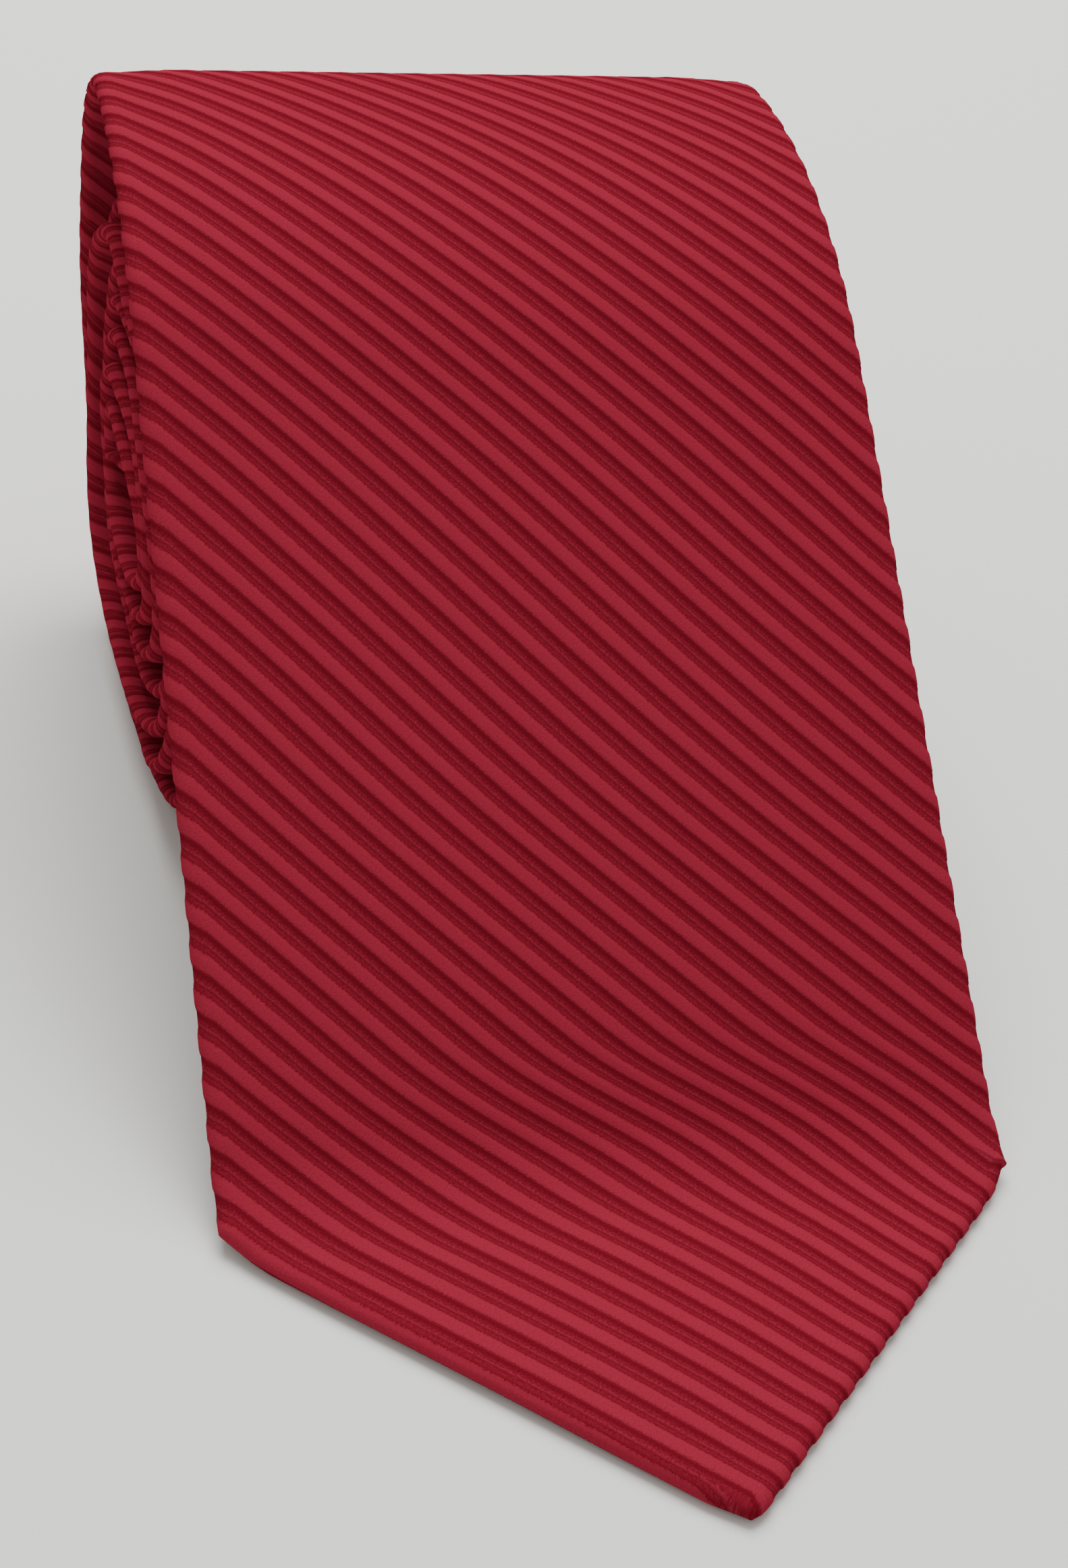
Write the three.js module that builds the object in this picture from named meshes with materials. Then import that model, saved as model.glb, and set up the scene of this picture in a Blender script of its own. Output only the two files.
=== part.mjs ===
// Necktie, rolled up for display: the pointed front blade comes over the top of the roll and runs
// down a ramp to the surface the roll stands on.
// Millimetres, +Z up, X across the tie, -Y towards the blade's point, origin under the middle.
//
// Every piece is first laid out flat on the tie, as (s, t, n): s along the tie from the blade's point,
// t across it, and n out of its front face, so the tie's thickness runs from n = 0 down. One path in
// the YZ plane, the rolled front face, then bends each piece into place.

import * as THREE from 'three';
import { mergeVertices } from 'three/addons/utils/BufferGeometryUtils.js';

// ---- driving dimensions ----------------------------------------------------------------------------

const TIE_LENGTH = 1396;
const BLADE_WIDTH = 85;
const NECK_WIDTH = 36;
const TAIL_WIDTH = 40;
const NARROWING_START = 110; // up to here the blade keeps its full width
const NECK_AT = 860; // where the tie is narrowest

const TIE_THICKNESS = 2.8;
const SHELL_THICKNESS = 0.6;
const INTERLINING_THICKNESS = 1;
const TIPPING_THICKNESS = 0.5;
const LABEL_THICKNESS = 0.4;
const THREAD = 0.5;
const GAP = 0.3; // between two pieces that touch
const EDGE_ROUND = 1; // rolled edge of the folded shell
const TIP_WALL_SHARE = 0.35; // of the half width, where the point is too narrow for a full wall
const TIP_ROUND_SHARE = 0.3;
const TIP_WING = 0.2; // least width of the cloth folded behind the point

// the roll, seen from its end
const FOOT_LENGTH = 38; // of the blade's point, lying on the surface
const FOOT_RADIUS = 19;
const RAMP_ANGLE = THREE.MathUtils.degToRad(38.5);
const CROWN_RADIUS = 69; // where the blade bends over the top of the roll
const ROLL_HEIGHT = 77;
const ROLL_BACK = 185;
const ROLL_FRONT = 99.4;
const ROLL_MIDDLE = 141.5;
const INNER_TOP = 64.5; // the second turn's top, well below the loose outer turn
const INNER_TOP_MIDDLE = 152;
const OUTER_BACK_HEIGHT = 0.605; // of the outer turn's rearmost point, as a share of the turn's height
const INNER_BACK_HEIGHT = 0.66; // the same of the turns inside it
const FRONT_HEIGHT = 0.44; // the same of each turn's foremost point
const REST_HALF_LENGTH = 11.6; // flattened underside of the roll
const TURN_PITCH = 3.87;
const PITCH_GROWTH = 0.034; // of the pitch, each turn towards the core
const MAX_FLATNESS = 2; // width over height of the quarter ellipses in a turn
const MIN_BEND_RADIUS = 4.04;
const TURNS = 8;
const TAIL_RUN = 8;

// how the turns step sideways as the narrowing tie is rolled
const SIDE_STEP = 21;
const SIDE_STEP_START = 290;
const SIDE_STEP_LENGTH = 470;

// sewn features, by their distance from the blade's point
const TIP_START = 2;
const INTERLINING_START = 10;
const HEM_WIDTH = 12;
const HEMS_MEET_AT = 114; // where the two folded edges meet behind the blade
const FRONT_TACK_AT = 117;
const BLADE_HINGE_AT = 140;
const KEEPER_AT = 176;
const KEEPER_LENGTH = 8;
const KEEPER_HALF_WIDTH = 31;
const KEEPER_OPEN_HALF_WIDTH = 22;
const KEEPER_DROP = 7;
const KEEPER_THICKNESS = 0.8;
const KEEPER_FLARE = 3; // of the band, from where it is sewn down to where it hangs open
const KEEPER_TACK_INSET = 3;
const KEEPER_TACK_HALF_WIDTH = 1.5;
const MAKER_LABEL_AT = 154;
const MAKER_LABEL_LENGTH = 18;
const MAKER_LABEL_HALF_WIDTH = 22;
const LABEL_STITCH_HALF_WIDTH = 0.5;
const CARE_LABEL_AT = 189;
const CARE_LABEL_LENGTH = 14;
const CARE_LABEL_HALF_WIDTH = 15;
const FRONT_JOIN_AT = 600;
const INTERLINING_JOIN_AT = 740;
const TAIL_JOIN_AT = 950;
const TAIL_TACK_AT = 1357;
const TAIL_HEMS_MEET_AT = 1361;
const JOIN_HALF_GAP = 0.5;
const TACK_LENGTH = 1.4;
const TACK_HALF_WIDTH = 3;
const TAIL_TACK_LIFT = 0.2;
const STITCH_COVER = 0.1; // how deep a thread's top lies in the cloth
const JOIN_STITCH_HALF_WIDTH = 0.2;

const SLIT_HALF_WIDTH = 0.6; // between the two folded edges, where the slip stitch runs

// ---- materials -------------------------------------------------------------------------------------

const cloth = (color, roughness) => new THREE.MeshStandardMaterial({ color, roughness, metalness: 0 });
const ribbedSilk = cloth(0x8f1a2c, 0.5);
const wool = cloth(0xe8e0d0, 0.95);
const lining = cloth(0x8a1526, 0.35);
const labelSatin = cloth(0x2a2a30, 0.45);
const careSatin = cloth(0xf2f0ea, 0.5);
const sewingThread = cloth(0x9a1c2e, 0.6);

// ---- the rolled path -------------------------------------------------------------------------------

// A run of samples {s, y, z, angle}, joined end to end with no kink. The angle is the tie's slope.
// straightEnds lists where its straight stretches start and end.
class FabricPath {
  constructor(y, z) {
    this.samples = [{ s: 0, y, z, angle: 0 }];
    this.straightEnds = [];
  }

  get end() {
    return this.samples[this.samples.length - 1];
  }

  addPoint(y, z, angle) {
    const { s, y: lastY, z: lastZ } = this.end;
    this.samples.push({ s: s + Math.hypot(y - lastY, z - lastZ), y, z, angle });
  }

  line(length) {
    const { y, z, angle } = this.end;
    this.straightEnds.push(this.end.s, this.end.s + length);
    this.addPoint(y + length * Math.cos(angle), z + length * Math.sin(angle), angle);
  }

  // turn is positive when the tie curls up
  arc(radius, turn) {
    const { y, z, angle } = this.end;
    const side = Math.sign(turn);
    const steps = Math.ceil(Math.abs(turn) / THREE.MathUtils.degToRad(1));
    for (let i = 1; i <= steps; i++) {
      const a = angle + (turn * i) / steps;
      const dy = side * radius * (Math.sin(a) - Math.sin(angle));
      const dz = side * radius * (Math.cos(angle) - Math.cos(a));
      this.addPoint(y + dy, z + dz, a);
    }
  }

  // A quarter of an ellipse to (y1, z1). It starts along one axis and ends along the other, having
  // turned down by a right angle.
  quarter(y1, z1) {
    const { y: y0, z: z0, angle: angle0 } = this.end;
    const startsLevel = Math.abs(Math.sin(angle0)) < 0.5;
    const steps = 60;
    for (let i = 1; i <= steps; i++) {
      const phi = ((Math.PI / 2) * i) / steps;
      const along = Math.sin(phi);
      const across = 1 - Math.cos(phi);
      const y = y0 + (y1 - y0) * (startsLevel ? along : across);
      const z = z0 + (z1 - z0) * (startsLevel ? across : along);
      const rateY = (y1 - y0) * (startsLevel ? Math.cos(phi) : Math.sin(phi));
      const rateZ = (z1 - z0) * (startsLevel ? Math.sin(phi) : Math.cos(phi));
      let angle = Math.atan2(rateZ, rateY);
      while (angle > this.end.angle + 0.01) angle -= 2 * Math.PI;
      this.addPoint(y, z, angle);
    }
  }

  // A quarter turn to (y1, z1), with a level stretch in it where an ellipse would be too pointed.
  bendTo(y1, z1) {
    const { y: y0, z: z0, angle } = this.end;
    const width = Math.abs(y1 - y0);
    const height = Math.abs(z1 - z0);
    const reach = Math.min(width, MAX_FLATNESS * height, (height * height) / MIN_BEND_RADIUS);
    const level = width - reach;
    const startsLevel = Math.abs(Math.sin(angle)) < 0.5;
    if (startsLevel && level > 0) this.line(level);
    this.quarter(startsLevel ? y1 : y0 + Math.sign(y1 - y0) * reach, z1);
    if (!startsLevel && level > 0) this.line(level);
  }

  at(s) {
    const { samples } = this;
    let low = 0;
    let high = samples.length - 1;
    while (high - low > 1) {
      const middle = (low + high) >> 1;
      if (samples[middle].s <= s) low = middle;
      else high = middle;
    }
    const a = samples[low];
    const b = samples[high];
    const f = THREE.MathUtils.clamp((s - a.s) / (b.s - a.s), 0, 1);
    const mix = THREE.MathUtils.lerp;
    return { y: mix(a.y, b.y, f), z: mix(a.z, b.z, f), angle: mix(a.angle, b.angle, f) };
  }
}

// From the blade's point up the ramp, over the crown, and then round and round into the roll.
function rolledPath() {
  const path = new FabricPath(0, TIE_THICKNESS);
  path.line(FOOT_LENGTH);
  path.arc(FOOT_RADIUS, RAMP_ANGLE);
  const crownDrop = CROWN_RADIUS * (1 - Math.cos(RAMP_ANGLE));
  const rampRise = ROLL_HEIGHT - crownDrop - path.end.z;
  path.line(rampRise / Math.sin(RAMP_ANGLE));
  path.arc(CROWN_RADIUS, -RAMP_ANGLE);
  for (let turn = 0; turn < TURNS; turn++) {
    const inset = turn * (TURN_PITCH + turn * PITCH_GROWTH);
    const restHalf = REST_HALF_LENGTH * (1 - turn / TURNS);
    const innerTop = INNER_TOP - inset;
    const backHeight = turn === 0 ? OUTER_BACK_HEIGHT : INNER_BACK_HEIGHT;
    path.bendTo(ROLL_BACK - inset, THREE.MathUtils.lerp(inset, path.end.z, backHeight));
    path.bendTo(ROLL_MIDDLE + restHalf, inset);
    path.line(2 * restHalf);
    if (turn === TURNS - 1) break; // the tail ends here, flat on the turn below
    path.bendTo(ROLL_FRONT + inset, THREE.MathUtils.lerp(inset, innerTop, FRONT_HEIGHT));
    path.bendTo(INNER_TOP_MIDDLE, innerTop);
  }
  path.line(TAIL_RUN);
  return path;
}

const path = rolledPath();

// ---- the tie laid flat -----------------------------------------------------------------------------

function halfWidth(s) {
  const narrowing = THREE.MathUtils.smoothstep(s, NARROWING_START, NECK_AT);
  const blade = THREE.MathUtils.lerp(BLADE_WIDTH, NECK_WIDTH, narrowing);
  const widening = THREE.MathUtils.smoothstep(s, NECK_AT, TIE_LENGTH);
  const half = (blade + (TAIL_WIDTH - NECK_WIDTH) * widening) / 2;
  return Math.min(half, s, TIE_LENGTH - s);
}

function sideStep(s) {
  return -SIDE_STEP * THREE.MathUtils.smoothstep(s, SIDE_STEP_START, SIDE_STEP_START + SIDE_STEP_LENGTH);
}

// Half of the opening between the two folded edges behind the tie, which shows the tipping.
function hemOpening(s) {
  const pointHem = HEM_WIDTH * Math.SQRT2;
  const fromTip = Math.min(s, TIE_LENGTH - s);
  const corner = s < NECK_AT ? BLADE_WIDTH / 2 : TAIL_WIDTH / 2;
  const meet = s < NECK_AT ? HEMS_MEET_AT : TIE_LENGTH - TAIL_HEMS_MEET_AT;
  const widest = corner - pointHem;
  const open = fromTip < corner ? fromTip - pointHem : (widest * (meet - fromTip)) / (meet - corner);
  return Math.max(SLIT_HALF_WIDTH, open);
}

// Places along the tie where a piece starts, ends or changes direction.
const features = [
  TIP_START, INTERLINING_START, HEM_WIDTH * Math.SQRT2 + SLIT_HALF_WIDTH, BLADE_WIDTH / 2,
  HEMS_MEET_AT, FRONT_TACK_AT - TACK_LENGTH / 2, FRONT_TACK_AT + TACK_LENGTH / 2, BLADE_HINGE_AT,
  KEEPER_AT, KEEPER_AT + KEEPER_LENGTH, MAKER_LABEL_AT, MAKER_LABEL_AT + MAKER_LABEL_LENGTH,
  CARE_LABEL_AT, CARE_LABEL_AT + CARE_LABEL_LENGTH, FRONT_JOIN_AT, INTERLINING_JOIN_AT, TAIL_JOIN_AT,
  TAIL_TACK_AT - TACK_LENGTH / 2, TAIL_TACK_AT + TACK_LENGTH / 2, TAIL_HEMS_MEET_AT,
  TIE_LENGTH - TAIL_WIDTH / 2, TIE_LENGTH - INTERLINING_START, TIE_LENGTH - TIP_START,
];

const TURN_STEP = THREE.MathUtils.degToRad(12); // most that the tie turns between two stations
const STATION_SPACING = 2.5; // least distance from a feature to any other station
const STATION_SEARCH = 0.25;
const CLOSEST_STATIONS = 0.3;
const CLOSEST_STRAIGHT_END = 0.5;
const MERGE_DISTANCE = 1e-5;

// One list of stations for every piece, so that neighbouring pieces have matching facets.
function makeStations() {
  const straightEnds = path.straightEnds.filter((s) => {
    const apart = features.every((f) => Math.abs(f - s) > CLOSEST_STRAIGHT_END);
    return s > TIP_START && s < TIE_LENGTH && apart;
  });
  const fixed = [...features, ...straightEnds].sort((a, b) => a - b);
  const stations = [...fixed];
  let last = path.at(TIP_START);
  for (let s = TIP_START; s < TIE_LENGTH - TIP_START; s += STATION_SEARCH) {
    const here = path.at(s);
    const toFixed = Math.min(...fixed.map((f) => Math.abs(f - s)));
    if (toFixed < STATION_SPACING) {
      if (toFixed < STATION_SEARCH) last = here;
    } else if (Math.abs(here.angle - last.angle) >= TURN_STEP) {
      stations.push(s);
      last = here;
    }
  }
  return stations.sort((a, b) => a - b);
}

const stations = makeStations();

function place(s, t, n) {
  const { y, z, angle } = path.at(s);
  return new THREE.Vector3(t + sideStep(s), y - n * Math.sin(angle), z + n * Math.cos(angle));
}

// Sweeps a closed outline along the tie from s0 to s1. section(s) gives its corners as [t, n],
// anticlockwise when t points right and n points up, and as many of them at every station.
function sweep(s0, s1, section) {
  const inner = stations.filter((s) => s > s0 + CLOSEST_STATIONS && s < s1 - CLOSEST_STATIONS);
  const rings = [s0, ...inner, s1].map((s) => section(s).map(([t, n]) => place(s, t, n)));
  const count = rings[0].length;
  const positions = rings.flat().flatMap((p) => p.toArray());
  const index = [];
  for (let i = 0; i + 1 < rings.length; i++) {
    for (let j = 0; j < count; j++) {
      const a = i * count + j;
      const b = i * count + ((j + 1) % count);
      index.push(a, b + count, b, a, a + count, b + count);
    }
  }
  const capTriangles = (s) => {
    const outline = section(s).map(([t, n]) => new THREE.Vector2(t, n));
    return THREE.ShapeUtils.triangulateShape(outline, []);
  };
  const lastRing = (rings.length - 1) * count;
  for (const [a, b, c] of capTriangles(s0)) index.push(a, b, c);
  for (const [a, b, c] of capTriangles(s1)) index.push(lastRing + a, lastRing + c, lastRing + b);
  const geometry = new THREE.BufferGeometry();
  geometry.setAttribute('position', new THREE.Float32BufferAttribute(positions, 3));
  geometry.setIndex(index);
  return mergeVertices(geometry, MERGE_DISTANCE);
}

// ---- cross-sections --------------------------------------------------------------------------------

// A flat strip from t0 to t1, with its top at n and the given thickness.
const strip = (t0, t1, n, thickness) => [[t0, n - thickness], [t1, n - thickness], [t1, n], [t0, n]];

// The outer cloth: flat across the front, folded round both edges, and back to the middle behind.
function foldedShell(s) {
  const w = halfWidth(s);
  const wall = Math.min(SHELL_THICKNESS, w * TIP_WALL_SHARE);
  const round = Math.min(EDGE_ROUND, w * TIP_ROUND_SHARE);
  const open = Math.min(hemOpening(s), w - wall - TIP_WING);
  const back = -TIE_THICKNESS;
  const rightHalf = [
    [open, back + SHELL_THICKNESS], [open, back], [w - round, back], [w, back + round], [w, -round],
    [w - round, 0],
  ];
  const rightInside = [[w - wall, -SHELL_THICKNESS], [w - wall, back + SHELL_THICKNESS]];
  const mirror = (outline) => outline.map(([t, n]) => [-t, n]).reverse();
  return [...rightHalf, ...mirror(rightHalf), ...mirror(rightInside), ...rightInside];
}

const interliningHalfWidth = (s) => halfWidth(s) - SHELL_THICKNESS - GAP;
const interlining = (s) => {
  const w = interliningHalfWidth(s);
  return strip(-w, w, -SHELL_THICKNESS - GAP, INTERLINING_THICKNESS);
};

const tippingTop = -SHELL_THICKNESS - INTERLINING_THICKNESS - 2 * GAP;
const tipping = (s) => {
  const w = hemOpening(s) - GAP;
  return strip(-w, w, tippingTop, TIPPING_THICKNESS);
};

const slipStitch = () => strip(-THREAD / 2, THREAD / 2, -TIE_THICKNESS + THREAD + STITCH_COVER, THREAD);

// Something sewn flat on the back of the tie.
const behind = (t0, t1, thickness, lift = GAP) => () => strip(t0, t1, -TIE_THICKNESS - lift, thickness);

// Stitches along the tie, sewn behind it at a distance t to the side.
const stitches = (t, half, lift) => behind(t - half, t + half, THREAD, lift);

// The band that holds the tail: flat where it is sewn down, hanging open in between.
function keeperBand() {
  const top = -TIE_THICKNESS - GAP;
  const low = top - KEEPER_DROP;
  const sewnTo = KEEPER_OPEN_HALF_WIDTH + KEEPER_FLARE;
  const outer = [
    [-KEEPER_HALF_WIDTH, top - KEEPER_THICKNESS], [-sewnTo, top - KEEPER_THICKNESS],
    [-KEEPER_OPEN_HALF_WIDTH, low], [KEEPER_OPEN_HALF_WIDTH, low],
    [sewnTo, top - KEEPER_THICKNESS], [KEEPER_HALF_WIDTH, top - KEEPER_THICKNESS],
  ];
  const inner = [
    [KEEPER_HALF_WIDTH, top], [sewnTo - KEEPER_THICKNESS, top],
    [KEEPER_OPEN_HALF_WIDTH - KEEPER_THICKNESS, low + KEEPER_THICKNESS],
    [-KEEPER_OPEN_HALF_WIDTH + KEEPER_THICKNESS, low + KEEPER_THICKNESS],
    [-sewnTo + KEEPER_THICKNESS, top], [-KEEPER_HALF_WIDTH, top],
  ];
  return [...outer, ...inner];
}

// ---- the pieces ------------------------------------------------------------------------------------

const necktie = new THREE.Group();
const bladeGroup = new THREE.Group();
const rollGroup = new THREE.Group();
necktie.add(bladeGroup, rollGroup);

function addPiece(group, name, material, s0, s1, section) {
  const mesh = new THREE.Mesh(sweep(s0, s1, section), material);
  mesh.name = name;
  group.add(mesh);
}

// The blade, from its point to the line where it lifts off the roll.
function addBlade() {
  const end = BLADE_HINGE_AT - GAP / 2;
  const tippingStart = HEM_WIDTH * Math.SQRT2 + SLIT_HALF_WIDTH;
  addPiece(bladeGroup, 'blade_shell', ribbedSilk, TIP_START, end, foldedShell);
  addPiece(bladeGroup, 'blade_interlining', wool, INTERLINING_START, end, interlining);
  addPiece(bladeGroup, 'front_tipping', lining, tippingStart, HEMS_MEET_AT - GAP, tipping);
  const tackSpan = [FRONT_TACK_AT - TACK_LENGTH / 2, FRONT_TACK_AT + TACK_LENGTH / 2];
  const tack = behind(-TACK_HALF_WIDTH, TACK_HALF_WIDTH, THREAD);
  addPiece(bladeGroup, 'front_bar_tack', sewingThread, ...tackSpan, tack);
  addPiece(bladeGroup, 'blade_slip_stitch', sewingThread, HEMS_MEET_AT, end, slipStitch);
}

// The shell's three lengths of cloth, and the stitching that joins them.
function addRolledShell() {
  const start = BLADE_HINGE_AT + GAP / 2;
  const lengths = [
    ['upper_blade_shell', start, FRONT_JOIN_AT - JOIN_HALF_GAP],
    ['neck_shell', FRONT_JOIN_AT + JOIN_HALF_GAP, TAIL_JOIN_AT - JOIN_HALF_GAP],
    ['tail_shell', TAIL_JOIN_AT + JOIN_HALF_GAP, TIE_LENGTH - TIP_START],
  ];
  for (const [name, s0, s1] of lengths) addPiece(rollGroup, name, ribbedSilk, s0, s1, foldedShell);
  const joinStitch = (s) => {
    const w = halfWidth(s) - EDGE_ROUND;
    return strip(-w, w, -STITCH_COVER, THREAD);
  };
  const half = JOIN_STITCH_HALF_WIDTH;
  for (const [name, s] of [['front_join_stitch', FRONT_JOIN_AT], ['tail_join_stitch', TAIL_JOIN_AT]]) {
    addPiece(rollGroup, name, sewingThread, s - half, s + half, joinStitch);
  }
}

function addRolledInside() {
  const start = BLADE_HINGE_AT + GAP / 2;
  const tailEnd = TIE_LENGTH - INTERLINING_START;
  const half = GAP / 2;
  addPiece(rollGroup, 'upper_interlining', wool, start, INTERLINING_JOIN_AT - half, interlining);
  addPiece(rollGroup, 'tail_interlining', wool, INTERLINING_JOIN_AT + half, tailEnd, interlining);
  const tippingEnd = TIE_LENGTH - HEM_WIDTH * Math.SQRT2 - SLIT_HALF_WIDTH;
  addPiece(rollGroup, 'tail_tipping', lining, TAIL_HEMS_MEET_AT + GAP, tippingEnd, tipping);
  addPiece(rollGroup, 'slip_stitch', sewingThread, start, TAIL_HEMS_MEET_AT, slipStitch);
  const tackSpan = [TAIL_TACK_AT - TACK_LENGTH / 2, TAIL_TACK_AT + TACK_LENGTH / 2];
  const tack = behind(-TACK_HALF_WIDTH, TACK_HALF_WIDTH, THREAD, TAIL_TACK_LIFT);
  addPiece(rollGroup, 'tail_bar_tack', sewingThread, ...tackSpan, tack);
}

function addKeeperAndLabels() {
  const keeperEnd = KEEPER_AT + KEEPER_LENGTH;
  addPiece(rollGroup, 'keeper_loop', ribbedSilk, KEEPER_AT, keeperEnd, keeperBand);
  const labelHalf = MAKER_LABEL_HALF_WIDTH;
  const label = behind(-labelHalf, labelHalf, LABEL_THICKNESS);
  addPiece(rollGroup, 'maker_label', labelSatin, MAKER_LABEL_AT, MAKER_LABEL_AT + MAKER_LABEL_LENGTH, label);
  const care = behind(-CARE_LABEL_HALF_WIDTH, CARE_LABEL_HALF_WIDTH, LABEL_THICKNESS);
  addPiece(rollGroup, 'care_label', careSatin, CARE_LABEL_AT, CARE_LABEL_AT + CARE_LABEL_LENGTH, care);
  const keeperTackLift = 2 * GAP + KEEPER_THICKNESS;
  const labelTackLift = 2 * GAP + LABEL_THICKNESS;
  for (const [side, sign] of [['left', -1], ['right', 1]]) {
    const keeperAt = sign * (KEEPER_HALF_WIDTH - KEEPER_TACK_INSET);
    const keeperTack = stitches(keeperAt, KEEPER_TACK_HALF_WIDTH, keeperTackLift);
    addPiece(rollGroup, `keeper_tack_${side}`, sewingThread, KEEPER_AT, keeperEnd, keeperTack);
    const labelAt = sign * (labelHalf - 2 * LABEL_STITCH_HALF_WIDTH);
    const labelTack = stitches(labelAt, LABEL_STITCH_HALF_WIDTH, labelTackLift);
    const labelEnd = MAKER_LABEL_AT + MAKER_LABEL_LENGTH;
    addPiece(rollGroup, `label_stitch_${side}`, sewingThread, MAKER_LABEL_AT, labelEnd, labelTack);
  }
}

addBlade();
addRolledShell();
addRolledInside();
addKeeperAndLabels();

// The origin is under the middle of the whole tie.
const box = new THREE.Box3().setFromObject(necktie);
const middle = box.getCenter(new THREE.Vector3());
necktie.position.set(-middle.x, -middle.y, -box.min.z);
necktie.updateMatrixWorld(true);

export default necktie;
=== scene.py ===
"""A crimson ribbed necktie, rolled up for display, built over its CAD frame.

Lengths are in millimetres until place() or to_metres() turns them into Blender's metres. A point of the
tie laid out flat is (s, t, n): s along the tie from the blade's point, t across it, n out of its front.
"""

import math

import bmesh
import bpy
import numpy as np
from mathutils import Matrix, Vector


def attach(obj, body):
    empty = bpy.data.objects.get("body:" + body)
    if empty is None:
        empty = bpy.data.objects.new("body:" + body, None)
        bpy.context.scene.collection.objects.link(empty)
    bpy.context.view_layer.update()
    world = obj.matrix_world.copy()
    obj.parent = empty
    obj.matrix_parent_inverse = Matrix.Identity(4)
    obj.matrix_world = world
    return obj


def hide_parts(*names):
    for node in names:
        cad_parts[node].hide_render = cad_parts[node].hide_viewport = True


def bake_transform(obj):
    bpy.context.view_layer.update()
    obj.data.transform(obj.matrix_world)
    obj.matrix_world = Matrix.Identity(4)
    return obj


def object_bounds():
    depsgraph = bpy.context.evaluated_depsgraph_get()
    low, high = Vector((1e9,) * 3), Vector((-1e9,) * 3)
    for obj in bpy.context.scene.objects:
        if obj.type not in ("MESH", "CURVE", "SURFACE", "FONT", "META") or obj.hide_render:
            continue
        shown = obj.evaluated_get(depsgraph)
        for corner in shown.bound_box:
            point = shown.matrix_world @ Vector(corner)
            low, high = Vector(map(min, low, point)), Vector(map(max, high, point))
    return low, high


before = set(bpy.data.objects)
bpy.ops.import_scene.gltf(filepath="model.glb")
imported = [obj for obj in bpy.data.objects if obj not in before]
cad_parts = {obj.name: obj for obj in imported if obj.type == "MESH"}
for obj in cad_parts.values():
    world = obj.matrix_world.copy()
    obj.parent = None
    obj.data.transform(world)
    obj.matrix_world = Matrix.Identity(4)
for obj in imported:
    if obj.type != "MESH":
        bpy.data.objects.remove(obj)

CAD_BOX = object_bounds()
MM = 0.001

# ---- the tie's own dimensions, as in the CAD part ---------------------------------------------------

TIE_LENGTH = 1396
BLADE_WIDTH = 85
NECK_WIDTH = 36
TAIL_WIDTH = 40
NARROWING_START = 110
NECK_AT = 860
TIE_THICKNESS = 2.8
SHELL_THICKNESS = 0.6
INTERLINING_THICKNESS = 1
LABEL_THICKNESS = 0.4
THREAD = 0.5
GAP = 0.3

FOOT_LENGTH = 38
FOOT_RADIUS = 19
RAMP_ANGLE = math.radians(38.5)
CROWN_RADIUS = 69
ROLL_HEIGHT = 77
ROLL_BACK = 185
ROLL_FRONT = 99.4
ROLL_MIDDLE = 141.5
INNER_TOP = 64.5
INNER_TOP_MIDDLE = 152
OUTER_BACK_HEIGHT = 0.605
INNER_BACK_HEIGHT = 0.66
FRONT_HEIGHT = 0.44
REST_HALF_LENGTH = 11.6
TURN_PITCH = 3.87
PITCH_GROWTH = 0.034
MAX_FLATNESS = 2
MIN_BEND_RADIUS = 4.04
TURNS = 8
TAIL_RUN = 8
SIDE_STEP = 21
SIDE_STEP_START = 290
SIDE_STEP_LENGTH = 470

TIP_START = 2
INTERLINING_START = 10
HEM_WIDTH = 12
HEMS_MEET_AT = 114
TAIL_HEMS_MEET_AT = 35  # from the tail's point
FRONT_TACK_AT = 117
KEEPER_AT = 176
KEEPER_LENGTH = 8
KEEPER_HALF_WIDTH = 31
KEEPER_OPEN_HALF_WIDTH = 22
KEEPER_DROP = 7
KEEPER_THICKNESS = 0.8
MAKER_LABEL_AT = 154
MAKER_LABEL_LENGTH = 18
MAKER_LABEL_HALF_WIDTH = 22
CARE_LABEL_AT = 189
CARE_LABEL_LENGTH = 14
CARE_LABEL_HALF_WIDTH = 15
FRONT_JOIN_AT = 600
INTERLINING_JOIN_AT = 740
TAIL_JOIN_AT = 950
TAIL_TACK_AT = 1357
SLIT_HALF_WIDTH = 0.6

# ---- the cloth ------------------------------------------------------------------------------------------

RIB_PITCH = BLADE_WIDTH / 18  # along the tie, or along the point's right edge
RIB_HEIGHT = 0.16
FOLD_BULGE = 1.8  # how far the rolled fold stands out past the flat front
EDGE_DROP = 0.4  # the pressed edges are thinner than the middle
EDGE_DROP_WIDTH = 8
FOLD_RADIUS = (TIE_THICKNESS - EDGE_DROP) / 2
CUT_AT = 45.5 * RIB_PITCH  # the blade's cloth passes to the roll's, in the valley of a rib
OUTER_TURN_END = 90.5 * RIB_PITCH
SEAM_GAP = 0.3  # between two lengths of cloth that meet
HEM_START = HEM_WIDTH * math.sqrt(2)  # along the tie, from the point to the inner corner of its hem
HEM_TURN = 4  # how far along the edge a fold takes to turn round the tip or a corner
CREASED_FROM = 190  # the folds of the rolled turns are pressed and uneven past here
CREASED_TO = 240
CREASED_RELIEF = 0.65  # how much of the ribs' height is pressed out of them
EDGE_SAMPLES = 2801  # along the tie, where the ribs' ends are found

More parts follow.
